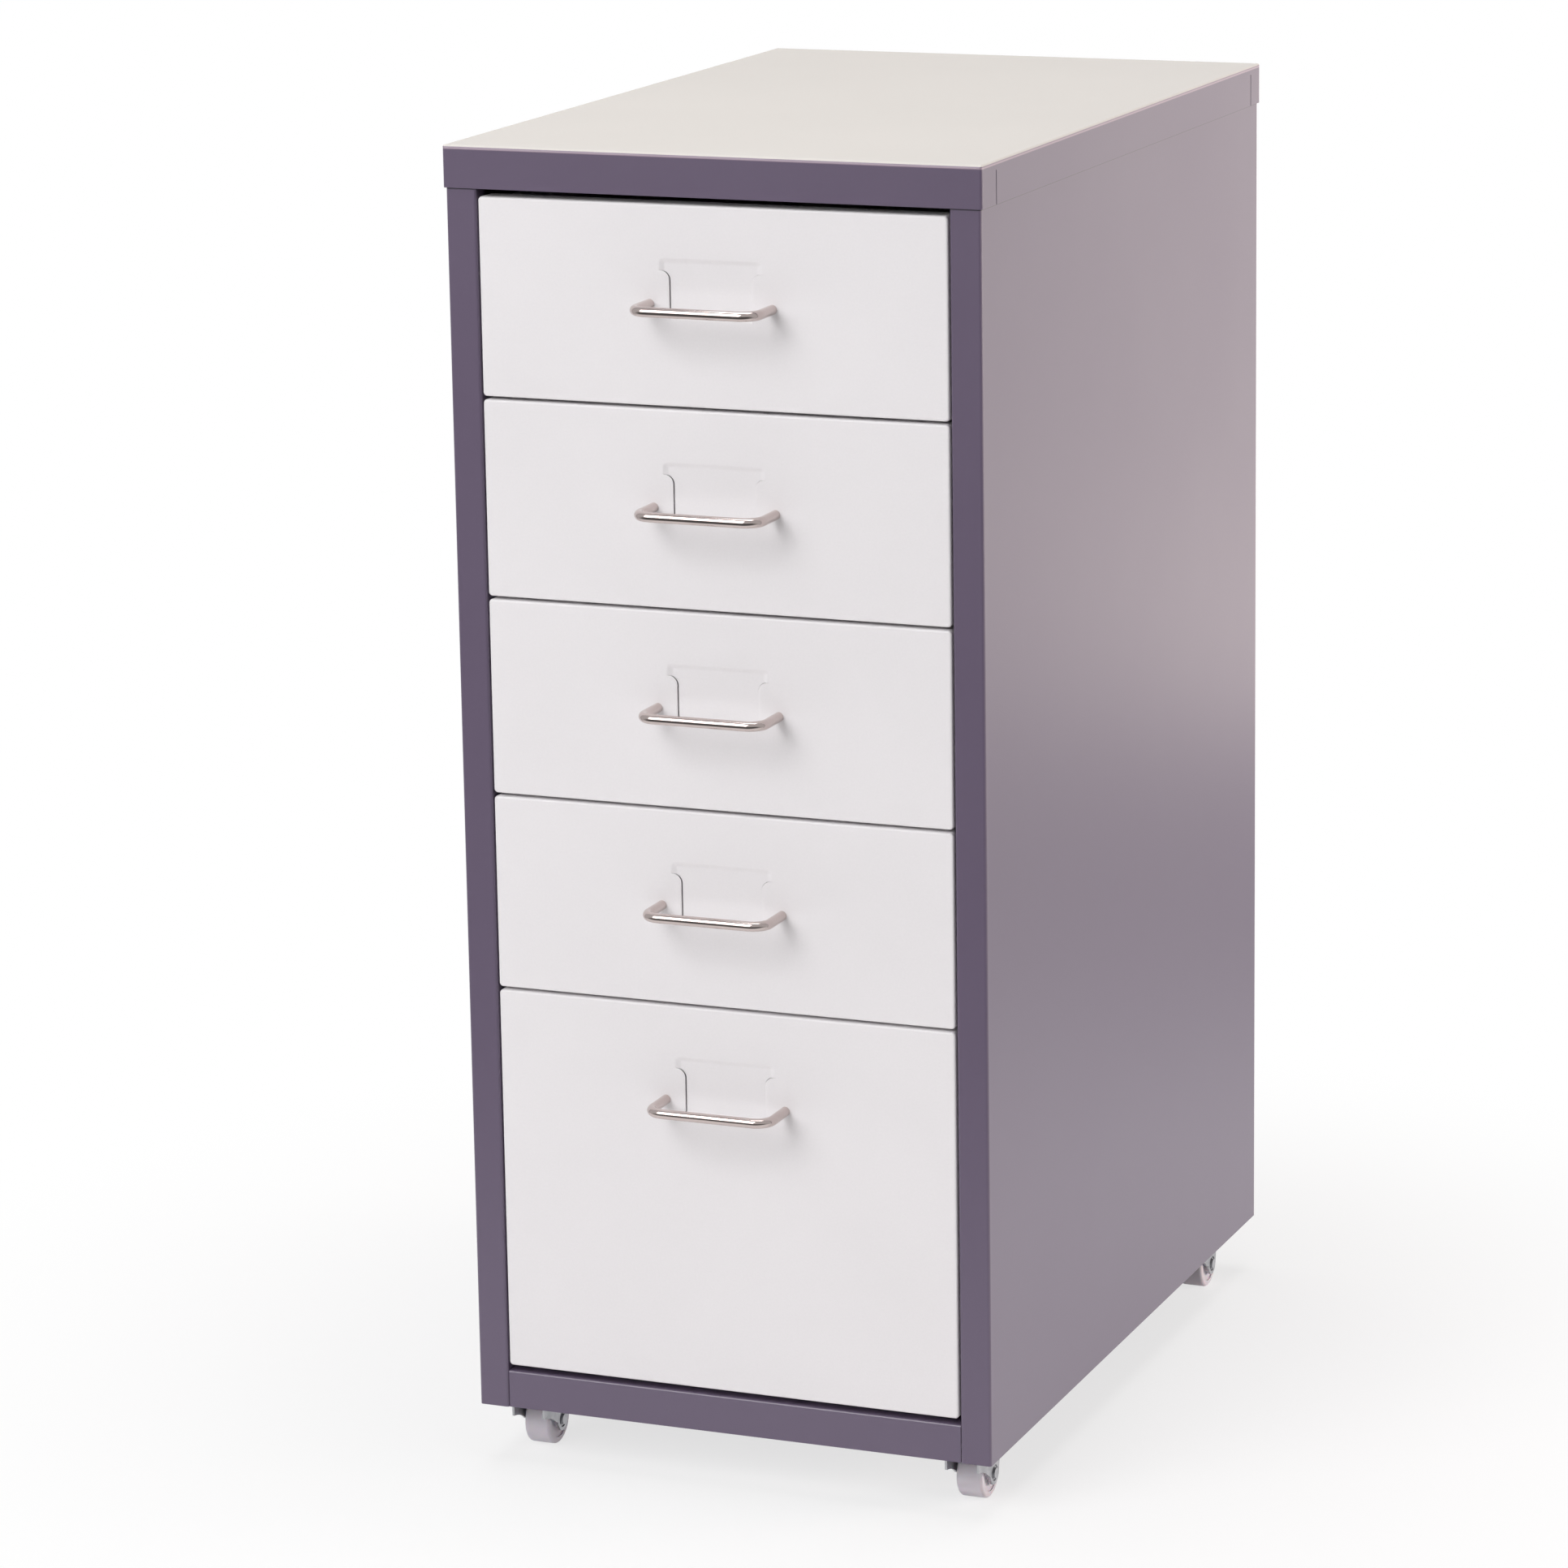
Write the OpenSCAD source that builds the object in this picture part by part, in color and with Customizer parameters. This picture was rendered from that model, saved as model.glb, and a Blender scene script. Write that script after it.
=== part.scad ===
// Small steel drawer cabinet on four swivel casters.
// Millimetres, +Z up, the drawers face -Y, and the floor is z = 0.
// Every panel is folded sheet: a strip follows a path of its middle line, with a radius at each fold.

/* [Carcass] */
// Overall width, across the lid
cabinet_w = 280; // [250:1:360]
// Overall depth, across the lid
cabinet_d = 430; // [425:1:520]
// Thickness of the carcass's folded sheet
sheet_t = 0.8; // [0.7:0.1:1.2]
// Radius on the outside of a carcass fold
fold_r = 1.4; // [1.3:0.1:2.2]
// Height of the lid's skirt
lid_skirt = 21; // [18:1:30]
// Gap between the lid's skirt and the panels inside it
lid_fit = 0.2; // [0.05:0.05:0.5]
// How far the front skirt wraps round onto each side
front_lap = 19.5; // [12:0.5:30]
// How far the rear skirt wraps round onto each side
rear_lap = 16; // [12:0.5:30]
// Width of the seam between two lengths of skirt
seam_w = 0.8; // [0.3:0.1:1.2]
// Height of the closed stretch above each seam
seam_top = 4.5; // [3:0.5:8]
// Width of the side panel's front flange
front_flange = 16; // [12:0.5:20]
// Depth of the return behind the front flange
flange_return = 10; // [8:0.5:12]
// Width of the side panel's rear flange
rear_flange = 12; // [10:0.5:18]
// Height of the base panel's front edge
rail_h = 19.5; // [18:0.5:30]
// How far that edge sits behind the front flanges
rail_back = 0.7; // [0.2:0.1:1.5]
// Gap between neighbouring panels of the carcass
panel_fit = 0.2; // [0.1:0.05:0.4]
// Radius of the back panel's rivets
rivet_r = 1.6; // [1.2:0.1:2]

/* [Drawers] */
// Height of one drawer unit, from front to front
drawer_pitch = 100; // [90:1:130]
// Gap between two fronts
front_gap = 1; // [0.75:0.25:3]
// Gap between a front and the flange beside it
side_gap = 1; // [0.75:0.25:3]
// Gap under the lowest front
rail_gap = 3; // [2:0.25:5]
// Gap over the top front
lid_gap = 3.5; // [2:0.25:6]
// Thickness of the drawers' sheet
drawer_t = 0.7; // [0.6:0.1:1]
// Radius of a front's rolled edge
front_r = 1.1; // [1:0.1:2]
// Radius of a front's corners
front_corner_r = 2; // [1.5:0.25:4]
// Depth of the edge folded back behind a front
front_return = 13; // [12:0.5:20]
// Length of the tray behind its front
tray_d = 405; // [385:1:406]
// Height of the tray's floor above the front's lower edge
tray_rise = 5; // [5:0.5:10]
// Height of the front's top edge above the tray's rim
tray_headroom = 3.5; // [2:0.5:8]
// Gap between the tray's side and the front's folded edge
tray_fit = 1.4; // [0.5:0.1:2]
// Width of the rim folded inwards round the tray
tray_rim = 4; // [3:0.5:6]
// Width of the tray's flanges behind the front
tray_flange = 10; // [6:0.5:12]
// How far a drawer slides out
drawer_travel = 330; // [250:5:350]

/* [Label pocket] */
// Width of the pocket's open top
pocket_w = 54; // [48:1:58]
// Width between the two slits
slit_gap = 43; // [30:1:43]
// Width of each slit
slit_w = 0.2; // [0.1:0.05:0.4]
// Height of the open top above the lips
pocket_mouth = 6.5; // [4:0.5:9]
// Height of the pocket above the handle's axis
pocket_rise = 23; // [19:0.5:26]
// Depth of the pocket below the handle's axis
pocket_drop = 5; // [1:0.5:8]
// Radius at the top of each lip
lip_r = 5; // [3:0.5:5.5]
// Radius of the pocket's upper corners
pocket_corner_r = 5; // [3.5:0.5:6]
// Depth of the pressing
press_d = 1; // [0.9:0.1:1.6]
// Width of the pressing's sloped edge
press_slope = 2.5; // [1.5:0.1:3]

/* [Handle] */
// Distance between the handle's legs
handle_pitch = 64; // [60:1:96]
// Diameter of the handle's wire
wire_d = 5; // [4.5:0.5:7]
// How far the handle stands out
handle_reach = 26.5; // [20:0.5:35]
// Radius of the wire's bends, to its middle
wire_bend_r = 8; // [5:0.5:12]
// Height of the front's top edge above the handle's axis
handle_drop = 49; // [44:1:52]
// Radius of the handle screws
handle_screw_r = 1.5; // [1.2:0.1:1.7]

/* [Runners] */
// Thickness of the runners
runner_t = 1; // [0.8:0.1:1.2]
// Width of the ledge under the tray's side
ledge_w = 12; // [8:0.5:16]
// Height of the step beside the tray
step_h = 6; // [4:0.5:8]
// Height of the web on the side panel
web_h = 12; // [8:0.5:20]
// Depth of the lip under the ledge
runner_lip = 3; // [2:0.5:3.5]
// Gap between the tray's side and the step
guide_gap = 1.5; // [0.5:0.1:1.6]
// Running gap under the tray
glide_gap = 0.3; // [0.2:0.05:0.5]
// Gap behind a closed front
stop_gap = 0.8; // [0.3:0.1:1.5]

/* [Casters] */
// Diameter of the wheels
wheel_d = 26; // [22:0.5:26]
// Width of the wheels
wheel_w = 14; // [10:0.5:16]
// Radius of the tread's edges
wheel_edge_r = 1.6; // [1:0.1:2.5]
// Thickness of the wheels' rim
rim_w = 3.2; // [2.5:0.1:4]
// Depth of the dish beside the hub
dish = 0.8; // [0.4:0.1:2]
// Diameter of the axles
axle_d = 4; // [3:0.5:5]
// Height of the casters, from the floor to their plates' top
caster_h = 34; // [34:0.5:40]
// Height that the plates sit up inside the carcass
caster_recess = 4; // [3.5:0.5:6]
// Distance of the axle behind the swivel
trail = 7.5; // [6:0.5:9]
// Distance of the swivels from the sides
caster_side_inset = 21.5; // [20:0.5:40]
// Distance of the front swivels from the front
caster_front_inset = 28.5; // [28.5:0.5:60]
// Distance of the rear swivels from the back
caster_rear_inset = 49; // [28:0.5:80]
// Side of the square plates
plate_w = 32; // [30:0.5:34]
// Thickness of the plates
plate_t = 1.6; // [1.2:0.1:1.8]
// Thickness of the forks' sheet
fork_t = 1.2; // [1:0.1:1.5]
// Length of the forks' top
fork_l = 30; // [28:0.5:31]
// Height of the forks' skirt
fork_skirt = 9; // [7:0.5:10]
// Radius of the fork's end round the axle
fork_end_r = 6; // [5.5:0.25:6.5]
// Radius of the caster screws
caster_screw_r = 2; // [1.5:0.1:2.2]

/* [Hidden] */
$fn = 48;
bend_steps = 4;            // straight facets in each fold
over = 1;                  // how far a cutter runs past what it cuts

// Carcass
body_w = cabinet_w - 2 * (sheet_t + lid_fit);
body_d = cabinet_d - 2 * (sheet_t + lid_fit);
body_z = caster_h - caster_recess;
drawer_units = [1, 1, 1, 1, 2];     // height of each drawer in units, from the top
units_below = [5, 4, 3, 2, 0];      // units below each drawer
unit_count = 6;
fronts_z = body_z + rail_h + rail_gap;
fronts_top = fronts_z + unit_count * drawer_pitch - front_gap;
cabinet_h = fronts_top + lid_gap + lid_skirt;
under_lid = cabinet_h - sheet_t;
opening = body_w / 2 - front_flange;          // from the middle to each front flange
inner = body_w / 2 - sheet_t;                 // from the middle to each side panel
back_y = body_d - sheet_t;                    // front of the rear flanges
back_half = body_w / 2 - fold_r;              // the back panel ends where the rear folds begin
base_top = body_z + rail_h;
base_half = inner - panel_fit;
base_rear = back_y - drawer_t - panel_fit;    // back of the base panel
base_hem = caster_recess;                     // height of its hidden edges above the body's lower edge
rivet_count = 5;
rivet_end = 30;                               // from each end of the rear flange to a rivet
rivet_head_h = 0.8;
rivet_tail_h = 1.4;
rivet_tail_r = 1.5 * rivet_r;
y_shift = (handle_reach - body_d - sheet_t - lid_fit) / 2;

// Drawers
front_w = 2 * (opening - side_gap);
tray_half = front_w / 2 - drawer_t - tray_fit;
hole_fit = 0.1;                               // play of a screw, pin or shaft in its hole
screw_head_h = 2;
head_ratio = 2;                               // head radius over shank radius
handle_screw_l = 9;                           // reach of a handle screw into the wire
back_grow = 0.3;                              // how far a slope stands out behind the sheet
skin = 0.01;                                  // thickness of the slices that a pressing is hulled from
stop_clear = 0.3;                             // play at the end of the travel
stop_w = 9;
stop_h = 11;

// Runners
runner_bend = 1.2;                            // middle radius of a runner's folds
ledge_drop = tray_rise - glide_gap - runner_t / 2;  // ledge's middle above the front's lower edge
step_x = tray_half + guide_gap + runner_t / 2;
runner_y0 = front_return + stop_gap;
runner_y1 = base_rear - rivet_tail_h;         // clear of the rivets' tails

// Casters
axle_r = axle_d / 2;
wheel_r = wheel_d / 2;
hub_r = 4.6;
hub_gap = 0.3;
leg_gap = 0.9;                                // between the tread's side and the fork's leg
leg_in = wheel_w / 2 + leg_gap;
race_h = 3.2;
race_r = 10;
race_gap = 0.3;
fork_top = caster_h - plate_t - race_h;
kingpin_r = 3;
kingpin_head_h = 1.4;
kingpin_head_r = 1.5 * kingpin_r;
axle_head_h = 0.9;
axle_head_r = 1.35 * axle_r;
ring_r = 4.2;                                 // ring pressed round each end of the axle
ring_w = 1.1;
relief_r = 26;                                // hollow curve below the skirt's front corner
relief_y = -3;                                // its highest point, ahead of the fork's front end
channel_t = 1.2;
channel_w = 36;
channel_lip = 8;
channel_half = base_half - fold_r;            // the channels end where the base panel's folds begin
screw_inset = 4;
caster_screw_head_r = 1.8 * caster_screw_r;
caster_screw_end = 3;                         // how far a caster screw stands out over its channel
caster_x = cabinet_w / 2 - caster_side_inset;
CASTERS = ["front_left", "front_right", "rear_left", "rear_right"];

body_colour = "#6a6074";
white_colour = "#e8e5e7";
nickel_colour = "#c9c3bb";
zinc_colour = "#a9a9ab";
nylon_colour = "#b8b4bc";

// ---- outlines ----
function unit(v) = v / norm(v);
function left_of(v) = [-v[1], v[0]];
function turned(v, a) = [v[0] * cos(a) - v[1] * sin(a), v[0] * sin(a) + v[1] * cos(a)];
function reversed(p) = [for (i = [len(p) - 1:-1:0]) p[i]];
function arc(c, r, a0, a1, n = bend_steps) =
    [for (i = [0:n]) let (a = a0 + (a1 - a0) * i / n) c + r * [cos(a), sin(a)]];

// One face of a strip that follows path p, at d to its left, with folds of middle radius r
function strip_face(p, d, r) = [
    for (i = [0:len(p) - 1])
        let (last = len(p) - 1,
             u = unit(i > 0 ? p[i] - p[i - 1] : p[1] - p[0]),
             v = unit(i < last ? p[i + 1] - p[i] : p[last] - p[last - 1]),
             a = atan2(u[0] * v[1] - u[1] * v[0], u * v),
             s = sign(a),
             c = p[i] - u * r * tan(abs(a) / 2) + s * r * left_of(u))
        each (a == 0 ? [p[i] + d * left_of(u)]
            : [for (k = [0:bend_steps]) c + (r - s * d) * turned(-s * left_of(u), a * k / bend_steps)])];

// Outline of a folded strip of thickness t
function strip(p, t, r) = concat(strip_face(p, t / 2, r), reversed(strip_face(p, -t / 2, r)));

// Rectangle centred on x, from y = -h to 0, with both top corners rounded
function arch(w, h, r) = concat(arc([w / 2 - r, -r], r, 0, 90), arc([-w / 2 + r, -r], r, 90, 180),
                                [[-w / 2, -h], [w / 2, -h]]);

function rounded_box(w, d, r) = concat(arc([w / 2 - r, d / 2 - r], r, 0, 90),
                                       arc([-w / 2 + r, d / 2 - r], r, 90, 180),
                                       arc([-w / 2 + r, -d / 2 + r], r, 180, 270),
                                       arc([w / 2 - r, -d / 2 + r], r, 270, 360));

// ---- shared shapes ----
// The model is centred over the floor, with the handles inside its box
module place() translate([0, y_shift, 0]) children();

// Extrusions of an outline: x-y upwards, x-z along y, and y-z along x
module along_x(x0, x1) translate([x0, 0, 0]) rotate([90, 0, 90]) linear_extrude(x1 - x0) children();
module along_y(y0, y1) translate([0, y1, 0]) rotate([90, 0, 0]) linear_extrude(y1 - y0) children();
module along_z(z0, z1) translate([0, 0, z0]) linear_extrude(z1 - z0) children();

// Shallow pan with its face up at z = 0 and its edges folded down
module pan(w, d, h, t, r, corner_r) {
    difference() {
        intersection() {
            along_z(-h, 0) polygon(rounded_box(w, d, corner_r));
            along_y(-d / 2, d / 2) polygon(arch(w, h, r));
            along_x(-w / 2, w / 2) polygon(arch(d, h, r));
        }
        translate([-w / 2 + t, -d / 2 + t, -h - over]) cube([w - 2 * t, d - 2 * t, h - t + over]);
    }
}

module pin_x(r, x0, x1) translate([x0, 0, 0]) rotate([0, 90, 0]) cylinder(r = r, h = x1 - x0);
module pin_y(r, y0, y1) translate([0, y0, 0]) rotate([-90, 0, 0]) cylinder(r = r, h = y1 - y0);
module pin_z(r, z0, z1) translate([0, 0, z0]) cylinder(r = r, h = z1 - z0);

// ---- carcass ----
module top_panel() color(body_colour) place() {
    mid_y = body_d / 2;
    lid_front = mid_y - cabinet_d / 2;
    difference() {
        translate([0, mid_y, cabinet_h])
            pan(cabinet_w, cabinet_d, lid_skirt, sheet_t, fold_r, fold_r);
        for (side = [-1, 1], y = [lid_front + front_lap, lid_front + cabinet_d - rear_lap])
            translate([side * cabinet_w / 2 - over - sheet_t, y - seam_w / 2, cabinet_h - lid_skirt - over])
                cube([2 * (sheet_t + over), seam_w, lid_skirt - seam_top + over]);
    }
}

module side_panel() {
    t2 = sheet_t / 2;
    x_out = body_w / 2 - t2;
    outline = strip([[opening + t2, flange_return], [opening + t2, t2], [x_out, t2],
                     [x_out, body_d - t2], [body_w / 2 - rear_flange, body_d - t2]],
                    sheet_t, fold_r - t2);
    difference() {
        along_z(body_z, under_lid) polygon(outline);
        rivet_places() pin_y(rivet_r + hole_fit, back_y - over, body_d + over);
    }
}
module side_panel_left() color(body_colour) place() mirror([1, 0, 0]) side_panel();
module side_panel_right() color(body_colour) place() side_panel();

// Rivet centres on the right rear flange
module rivet_places() {
    run = under_lid - body_z - 2 * rivet_end;
    for (i = [0:rivet_count - 1])
        translate([body_w / 2 - rear_flange / 2, 0, body_z + rivet_end + run * i / (rivet_count - 1)])
            children();
}
module both_sides() {
    children();
    mirror([1, 0, 0]) children();
}

module back_panel() color(body_colour) place() {
    difference() {
        translate([-back_half, back_y - drawer_t, body_z])
            cube([2 * back_half, drawer_t, under_lid - body_z]);
        both_sides() rivet_places() pin_y(rivet_r + hole_fit, back_y - 2 * over, back_y + over);
    }
}

module back_rivets() color(body_colour) place() both_sides() rivet_places() {
    pin_y(rivet_r, back_y - drawer_t - rivet_tail_h, body_d + rivet_head_h / 2);
    pin_y(rivet_r * head_ratio, body_d, body_d + rivet_head_h);
    pin_y(rivet_tail_r, back_y - drawer_t - rivet_tail_h, back_y - drawer_t);
}

module base_panel() color(body_colour) place() {
    t2 = sheet_t / 2;
    r = fold_r - t2;
    hem_z = body_z + base_hem;
    rail_y = rail_back + t2;
    along_x(-opening + panel_fit, opening - panel_fit)
        polygon(strip([[rail_y, body_z], [rail_y, base_top - t2], [base_rear - t2, base_top - t2],
                       [base_rear - t2, hem_z]], sheet_t, r));
    along_y(flange_return + panel_fit, base_rear)
        polygon(strip([[-base_half + t2, hem_z], [-base_half + t2, base_top - t2],
                       [base_half - t2, base_top - t2], [base_half - t2, hem_z]], sheet_t, r));
}

// Lipped channel under the base panel, which carries two casters
module caster_channel(y) {
    t2 = channel_t / 2;
    top = base_top - sheet_t - t2;
    half = channel_w / 2 - t2;
    difference() {
        translate([0, y, 0]) along_x(-channel_half, channel_half)
            polygon(strip([[-half + channel_lip, top], [-half, top], [-half, caster_h + t2],
                           [half, caster_h + t2], [half, top], [half - channel_lip, top]],
                          channel_t, fold_r));
        for (side = [-1, 1]) translate([side * caster_x, y, 0]) screw_places()
            pin_z(caster_screw_r + hole_fit, caster_h - over, caster_h + channel_t + over);
    }
}
module front_channel() color(zinc_colour) place() caster_channel(caster_front_inset);
module rear_channel() color(zinc_colour) place() caster_channel(body_d - caster_rear_inset);

// Stepped runners for the right side: one under each drawer, and one above the top drawer
module runners() {
    half_t = runner_t / 2;
    lip_x = tray_half - ledge_w;
    outline = strip([[inner - half_t, step_h + web_h], [inner - half_t, step_h], [step_x, step_h],
                     [step_x, 0], [lip_x, 0], [lip_x, -runner_lip]], runner_t, runner_bend);
    for (units = concat(units_below, [unit_count]))
        translate([0, 0, fronts_z + units * drawer_pitch + ledge_drop])
            along_y(runner_y0, runner_y1) polygon(outline);
}
module runners_left() color(zinc_colour) place() mirror([1, 0, 0]) runners();
module runners_right() color(zinc_colour) place() runners();

// ---- drawers, counted from the top ----
function front_z(i) = fronts_z + units_below[i] * drawer_pitch;
function front_h(i) = drawer_units[i] * drawer_pitch - front_gap;
function handle_z(i) = front_z(i) + front_h(i) - handle_drop;

// Outline of the pocket, from the handle's axis: the open top, and the stretch between the slits
pocket_lip_z = pocket_rise - pocket_mouth;
function pocket_outline(grow) = concat(
    arc([-slit_gap / 2 - lip_r, pocket_lip_z - lip_r], lip_r - grow, 90, 0),
    [[-slit_gap / 2 - grow, -pocket_drop - press_slope - over],
     [slit_gap / 2 + grow, -pocket_drop - press_slope - over]],
    arc([slit_gap / 2 + lip_r, pocket_lip_z - lip_r], lip_r - grow, 180, 90),
    [[pocket_w / 2 + over, pocket_lip_z - grow], [pocket_w / 2 + over, pocket_rise + over],
     [-pocket_w / 2 - over, pocket_rise + over], [-pocket_w / 2 - over, pocket_lip_z - grow]]);

// Blank of the pressing, smaller all round by inset
module pocket_blank(inset) {
    low = -pocket_drop - press_slope + inset;
    translate([0, pocket_rise - inset])
        polygon(arch(pocket_w - 2 * inset, pocket_rise - inset - low, pocket_corner_r - inset));
}

// Pressing of the given depth, sloped all round and cut off straight along the slits and their lips.
// Its slopes stand out by back_side, and its cut edges keep clear of the lips by slit.
module pressing(depth, back_side, slit) {
    ahead = press_slope * over / depth;        // what the slopes gain in front of the sheet
    intersection() {
        hull() {
            along_y(-over, -over + skin) pocket_blank(-ahead - back_side);
            along_y(depth - skin, depth) pocket_blank(press_slope - back_side);
        }
        along_y(-2 * over, depth + over) polygon(pocket_outline(-slit));
    }
}

module drawer_front(i) color(white_colour) place() {
    handle_at = [0, 0, handle_z(i)];
    behind_face = [-pocket_w, drawer_t / 2, front_z(i)];
    difference() {
        union() {
            translate([0, 0, front_z(i) + front_h(i) / 2]) rotate([90, 0, 0])
                pan(front_w, front_h(i), front_return, drawer_t, front_r, front_corner_r);
            intersection() {
                translate(handle_at) pressing(press_d + drawer_t, back_grow, slit_w);
                translate(behind_face) cube([2 * pocket_w, front_return, front_h(i)]);
            }
        }
        translate(handle_at) pressing(press_d, 0, 0);
        for (side = [-1, 1]) translate(handle_at + [side * handle_pitch / 2, 0, 0])
            pin_y(handle_screw_r + 2 * hole_fit, -over, drawer_t + over);
    }
}

module drawer_tray(i) color(white_colour) place() {
    t2 = drawer_t / 2;
    floor_z = front_z(i) + tray_rise;
    rim_z = front_z(i) + front_h(i) - tray_headroom;
    x_out = tray_half - t2;
    front_y = drawer_t + t2;
    rear_y = drawer_t + tray_d - t2;
    rim_in = tray_half - tray_rim;
    wall = strip([[-tray_half + tray_flange, front_y], [-x_out, front_y], [-x_out, rear_y],
                  [x_out, rear_y], [x_out, front_y], [tray_half - tray_flange, front_y]],
                 drawer_t, front_r - t2);
    along_z(floor_z, rim_z) polygon(wall);
    translate([-x_out, front_y, floor_z]) cube([2 * x_out, rear_y - front_y, drawer_t]);
    // rim folded inwards along both sides and the back
    difference() {
        translate([-x_out, front_y, rim_z - drawer_t]) cube([2 * x_out, rear_y - front_y, drawer_t]);
        translate([-rim_in, front_y - over, rim_z - drawer_t - over])
            cube([2 * rim_in, rear_y + t2 - tray_rim - front_y + over, drawer_t + 2 * over]);
    }
    // tab lanced outwards from each side, which meets the front flange's return at full travel
    for (side = [0, 1]) mirror([side, 0, 0])
        translate([x_out, drawer_travel + flange_return + stop_clear,
                   front_z(i) + ledge_drop + step_h + runner_t])
            cube([stop_w, drawer_t, stop_h]);
}

module drawer_handle(i) color(nickel_colour) place() {
    r = wire_d / 2;
    bar_y = r - handle_reach;
    bend_y = bar_y + wire_bend_r;
    bend_x = handle_pitch / 2 - wire_bend_r;
    translate([0, 0, handle_z(i)]) difference() {
        union() {
            for (side = [-1, 1]) translate([side * handle_pitch / 2, 0, 0]) pin_y(r, bend_y, 0);
            translate([-bend_x, bend_y, 0]) rotate([0, 0, 180])
                rotate_extrude(angle = 90) translate([wire_bend_r, 0]) circle(r = r);
            translate([bend_x, bend_y, 0]) rotate([0, 0, 270])
                rotate_extrude(angle = 90) translate([wire_bend_r, 0]) circle(r = r);
            translate([0, bar_y, 0]) pin_x(r, -bend_x, bend_x);
        }
        for (side = [-1, 1]) translate([side * handle_pitch / 2, 0, 0])
            pin_y(handle_screw_r + hole_fit, -handle_screw_l, over);
    }
}

module drawer_screws(i) color(zinc_colour) place()
    for (side = [-1, 1]) translate([side * handle_pitch / 2, drawer_t, handle_z(i)]) {
        pin_y(handle_screw_r, -handle_screw_l, screw_head_h / 2);
        pin_y(handle_screw_r * head_ratio, 0, screw_head_h);
    }

// ---- casters ----
function caster_at(i) = [(i % 2 == 0 ? -1 : 1) * caster_x,
                         i < 2 ? caster_front_inset : body_d - caster_rear_inset, 0];
module screw_places() {
    at = plate_w / 2 - screw_inset;
    for (x = [-at, at], y = [-at, at]) translate([x, y, 0]) children();
}

module caster_plate(i) color(zinc_colour) place() translate(caster_at(i)) difference() {
    union() {
        along_z(caster_h - plate_t, caster_h) polygon(rounded_box(plate_w, plate_w, screw_inset));
        pin_z(race_r, fork_top + race_gap, caster_h - plate_t / 2);
    }
    pin_z(kingpin_r + hole_fit, fork_top - over, caster_h + over);
    screw_places() pin_z(caster_screw_r + hole_fit, caster_h - plate_t - over, caster_h + over);
}

module caster_screws() color(zinc_colour) place() {
    seat = caster_h - plate_t;
    for (i = [0:3]) translate(caster_at(i)) screw_places() {
        pin_z(caster_screw_r, seat - screw_head_h / 2, caster_h + channel_t + caster_screw_end);
        pin_z(caster_screw_head_r, seat - screw_head_h, seat);
    }
}

// Rivet that the fork turns on, flush with the plate's top
module kingpin(i) color(zinc_colour) place() translate(caster_at(i)) {
    head_top = fork_top - fork_t - race_gap;
    pin_z(kingpin_r, head_top - kingpin_head_h / 2, caster_h);
    pin_z(kingpin_head_r, head_top - kingpin_head_h, head_top);
}

module fork(i) color(zinc_colour) place() translate(caster_at(i)) {
    leg = leg_in + fork_t / 2;
    skirt_z = fork_top - fork_skirt;
    relief = [0, -fork_l / 2 + relief_y, skirt_z - sqrt(relief_r * relief_r - relief_y * relief_y)];
    axle = [0, trail, wheel_r];
    difference() {
        intersection() {
            along_y(-fork_l / 2, fork_l / 2)
                polygon(strip([[-leg, 0], [-leg, fork_top - fork_t / 2], [leg, fork_top - fork_t / 2],
                               [leg, 0]], fork_t, fork_t));
            union() {
                along_x(-leg_in - 2 * fork_t, leg_in + 2 * fork_t)
                    polygon([[-fork_l / 2, fork_top], [-fork_l / 2, skirt_z],
                             [trail - fork_end_r, wheel_r], [trail + fork_end_r, wheel_r],
                             [fork_l / 2, skirt_z], [fork_l / 2, fork_top]]);
                translate(axle) pin_x(fork_end_r, -leg_in - 2 * fork_t, leg_in + 2 * fork_t);
            }
        }
        translate(relief) pin_x(relief_r, -leg_in - 2 * fork_t, leg_in + 2 * fork_t);
        translate(axle) pin_x(axle_r + hole_fit / 2, -leg_in - 2 * fork_t, leg_in + 2 * fork_t);
        pin_z(kingpin_r + hole_fit, fork_top - fork_t - over, fork_top + over);
        // ring pressed round each end of the axle
        translate(axle) for (side = [0, 1]) mirror([side, 0, 0]) difference() {
            pin_x(ring_r, leg_in + fork_t / 2, leg_in + fork_t + over);
            pin_x(ring_r - ring_w, leg_in, leg_in + fork_t + 2 * over);
        }
    }
}

module axle(i) color(zinc_colour) place() translate(caster_at(i) + [0, trail, wheel_r]) {
    end = leg_in + fork_t;
    pin_x(axle_r, -end - axle_head_h / 2, end + axle_head_h / 2);
    pin_x(axle_head_r, end, end + axle_head_h);
    pin_x(axle_head_r, -end - axle_head_h, -end);
}

module wheel(i) color(nylon_colour) place() translate(caster_at(i) + [0, trail, wheel_r]) {
    half = wheel_w / 2;
    bore = axle_r + hole_fit;
    rim_in = wheel_r - rim_w;
    hub_x = leg_in - hub_gap;
    quarter = concat([[bore, hub_x], [hub_r, hub_x], [hub_r, half - dish], [rim_in, half - dish],
                      [rim_in, half]],
                     arc([wheel_r - wheel_edge_r, half - wheel_edge_r], wheel_edge_r, 90, 0));
    rotate([0, 90, 0]) rotate_extrude($fn = 96)
        polygon(concat(quarter, [for (p = reversed(quarter)) [p[0], -p[1]]]));
}

top_panel();
side_panel_left();
side_panel_right();
back_panel();
base_panel();
front_channel();
rear_channel();
runners_left();
runners_right();
back_rivets();
caster_screws();
for (i = [0:4]) {
    drawer_front(i);
    drawer_tray(i);
    drawer_handle(i);
    drawer_screws(i);
}
for (i = [0:3]) {
    caster_plate(i);
    kingpin(i);
    fork(i);
    axle(i);
    wheel(i);
}
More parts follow.
